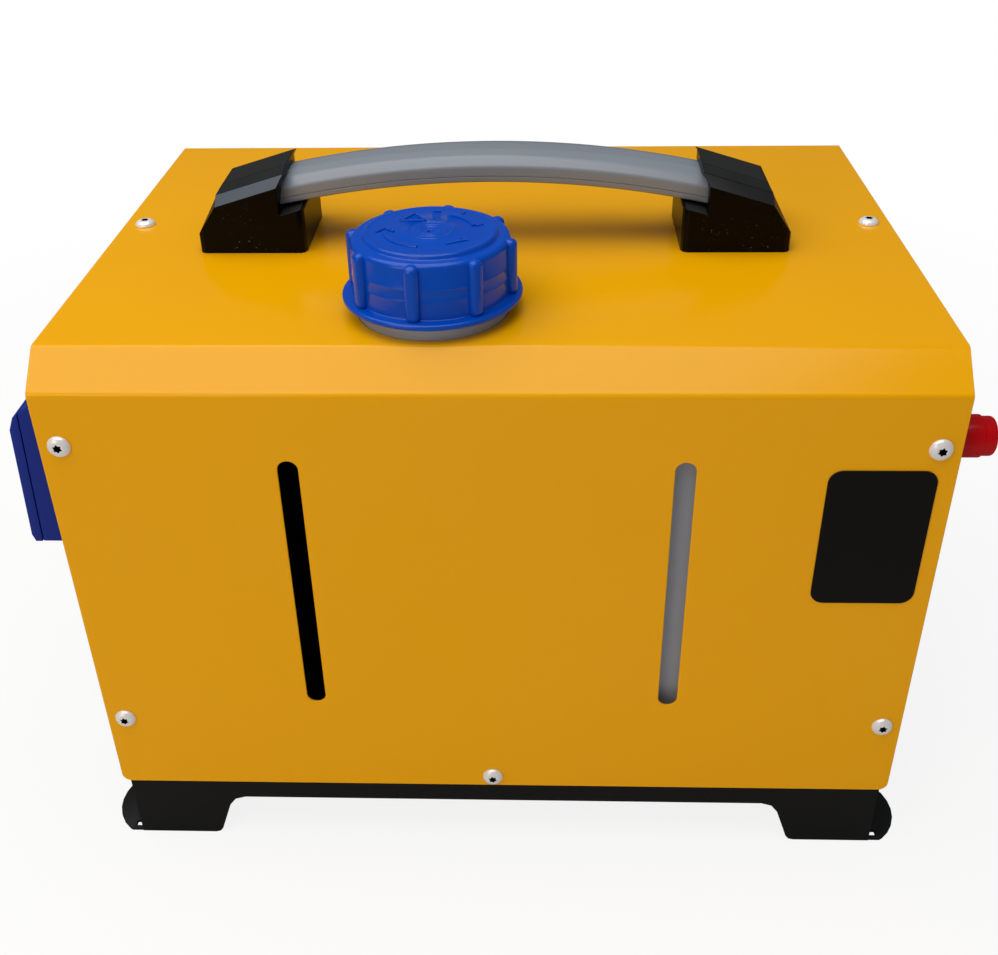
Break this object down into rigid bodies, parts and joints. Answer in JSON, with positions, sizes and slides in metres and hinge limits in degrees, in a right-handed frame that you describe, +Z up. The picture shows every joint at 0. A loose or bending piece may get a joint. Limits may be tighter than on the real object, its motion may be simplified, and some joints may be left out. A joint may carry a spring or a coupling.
{
  "type": "diesel air heater",
  "caption": "Portable diesel air heater: yellow sheet case on a black base with legs, carrying handle, screw-cap fuel tank, fan heater unit, control panel and cable terminals.",
  "frame": {"origin": "on the ground under the middle of the object", "axes": "+X to the right, towards the warm-air outlet; +Y to the back; +Z up"},
  "size_m": [0.428, 0.2936, 0.3174],
  "materials": {
    "yellow_paint": "smooth yellow powder coat",
    "black_powder_coat": "satin black powder coat",
    "gloss_black_plastic": "moulded gloss black",
    "grey_sleeve": "grey vinyl sleeve with a soft sheen",
    "blue_plastic": "moulded blue polypropylene",
    "natural_plastic": "natural translucent polyethylene",
    "navy_plastic": "moulded navy blue",
    "dark_glass": "dark display window",
    "dark_plastic": "moulded dark grey",
    "red_plastic": "moulded red",
    "bright_zinc": "bright zinc plate",
    "steel": "plain steel",
    "brass": "turned brass",
    "cast_aluminium": "as cast",
    "rubber": "black rubber"
  },
  "bodies": {
    "case": {"cover": "yellow_paint", "base_tray": "black_powder_coat", "left_end_panel": "black_powder_coat", "right_end_panel": "black_powder_coat", "label_plate": "gloss_black_plastic", "handle_foot_left": "gloss_black_plastic", "handle_foot_right": "gloss_black_plastic", "negative_bush": "gloss_black_plastic", "handle_grip": "grey_sleeve", "fuel_tank": "natural_plastic", "control_housing": "navy_plastic", "control_bezel": "navy_plastic", "control_screen": "dark_glass", "heater_case_lower": "dark_plastic", "heater_case_upper": "dark_plastic", "control_unit": "dark_plastic", "outlet_collar": "dark_plastic", "intake_grille": "dark_plastic", "positive_bush": "red_plastic", "front_screw_upper_left": "bright_zinc", "front_screw_upper_right": "bright_zinc", "front_screw_lower_left": "bright_zinc", "front_screw_lower_right": "bright_zinc", "front_screw_lower_middle": "bright_zinc", "rear_screw_upper_left": "bright_zinc", "rear_screw_upper_right": "bright_zinc", "rear_screw_lower_left": "bright_zinc", "rear_screw_lower_right": "bright_zinc", "rear_screw_lower_middle": "bright_zinc", "top_screw_left": "bright_zinc", "top_screw_right": "bright_zinc", "handle_bolt_left": "bright_zinc", "handle_bolt_right": "bright_zinc", "glow_plug": "bright_zinc", "handle_strip": "steel", "fuel_pump": "steel", "burner_insert": "steel", "exhaust_stub": "steel", "positive_post": "brass", "negative_post": "brass", "fuel_pickup": "brass", "heat_exchanger": "cast_aluminium", "fan_motor": "cast_aluminium", "air_stub": "cast_aluminium", "fuel_line_tank": "rubber", "fuel_line_heater": "rubber", "pump_clamp": "rubber"},
    "cap_seal_carrier": {"cap_seal": "rubber"},
    "fuel_cap": {"fuel_cap": "blue_plastic"},
    "button_power": {"button_power": "gloss_black_plastic"},
    "button_down": {"button_down": "gloss_black_plastic"},
    "button_up": {"button_up": "gloss_black_plastic"},
    "button_confirm": {"button_confirm": "gloss_black_plastic"},
    "positive_washer": {"positive_washer": "bright_zinc"},
    "positive_knob": {"positive_knob": "red_plastic"},
    "negative_washer": {"negative_washer": "bright_zinc"},
    "negative_knob": {"negative_knob": "gloss_black_plastic"},
    "fan_rotor": {"blower_impeller": "dark_plastic", "combustion_impeller": "cast_aluminium"}
  },
  "joints": [
    {"name": "cap_lift", "type": "slide", "parent": "case", "child": "cap_seal_carrier", "axis": [0, 0, 1], "range_m": [0, 0.018]},
    {"name": "cap_turn", "type": "hinge", "parent": "cap_seal_carrier", "child": "fuel_cap", "pos_m": [-0.0275, -0.091, 0.274], "axis": [0, 0, 1], "range_deg": [0, 1085]},
    {"name": "press_power", "type": "slide", "parent": "case", "child": "button_power", "axis": [0.9989, 0, -0.0472], "range_m": [0, 0.001], "stiffness_N_per_m": 400, "springref_m": -0.0005},
    {"name": "press_down", "type": "slide", "parent": "case", "child": "button_down", "axis": [0.9989, 0, -0.0472], "range_m": [0, 0.001], "stiffness_N_per_m": 400, "springref_m": -0.0005},
    {"name": "press_up", "type": "slide", "parent": "case", "child": "button_up", "axis": [0.9989, 0, -0.0472], "range_m": [0, 0.001], "stiffness_N_per_m": 400, "springref_m": -0.0005},
    {"name": "press_confirm", "type": "slide", "parent": "case", "child": "button_confirm", "axis": [0.9989, 0, -0.0472], "range_m": [0, 0.001], "stiffness_N_per_m": 400, "springref_m": -0.0005},
    {"name": "positive_travel", "type": "slide", "parent": "case", "child": "positive_washer", "axis": [1, 0, 0], "range_m": [0, 0.004]},
    {"name": "positive_turn", "type": "hinge", "parent": "positive_washer", "child": "positive_knob", "pos_m": [0.192, -0.124, 0.2299], "axis": [1, 0, 0], "range_deg": [0, 1157]},
    {"name": "negative_travel", "type": "slide", "parent": "case", "child": "negative_washer", "axis": [1, 0, 0], "range_m": [0, 0.004]},
    {"name": "negative_turn", "type": "hinge", "parent": "negative_washer", "child": "negative_knob", "pos_m": [0.192, -0.086, 0.2299], "axis": [1, 0, 0], "range_deg": [0, 1157]},
    {"name": "fan_spin", "type": "hinge", "parent": "case", "child": "fan_rotor", "pos_m": [-0.06, 0.05, 0.112], "axis": [1, 0, 0], "continuous": true}
  ],
  "couplings": [
    {"joint": "cap_turn", "follows": "cap_lift", "rad_per_m": 1047.2},
    {"joint": "positive_turn", "follows": "positive_travel", "rad_per_m": 5026.5},
    {"joint": "negative_turn", "follows": "negative_travel", "rad_per_m": 5026.5}
  ]
}
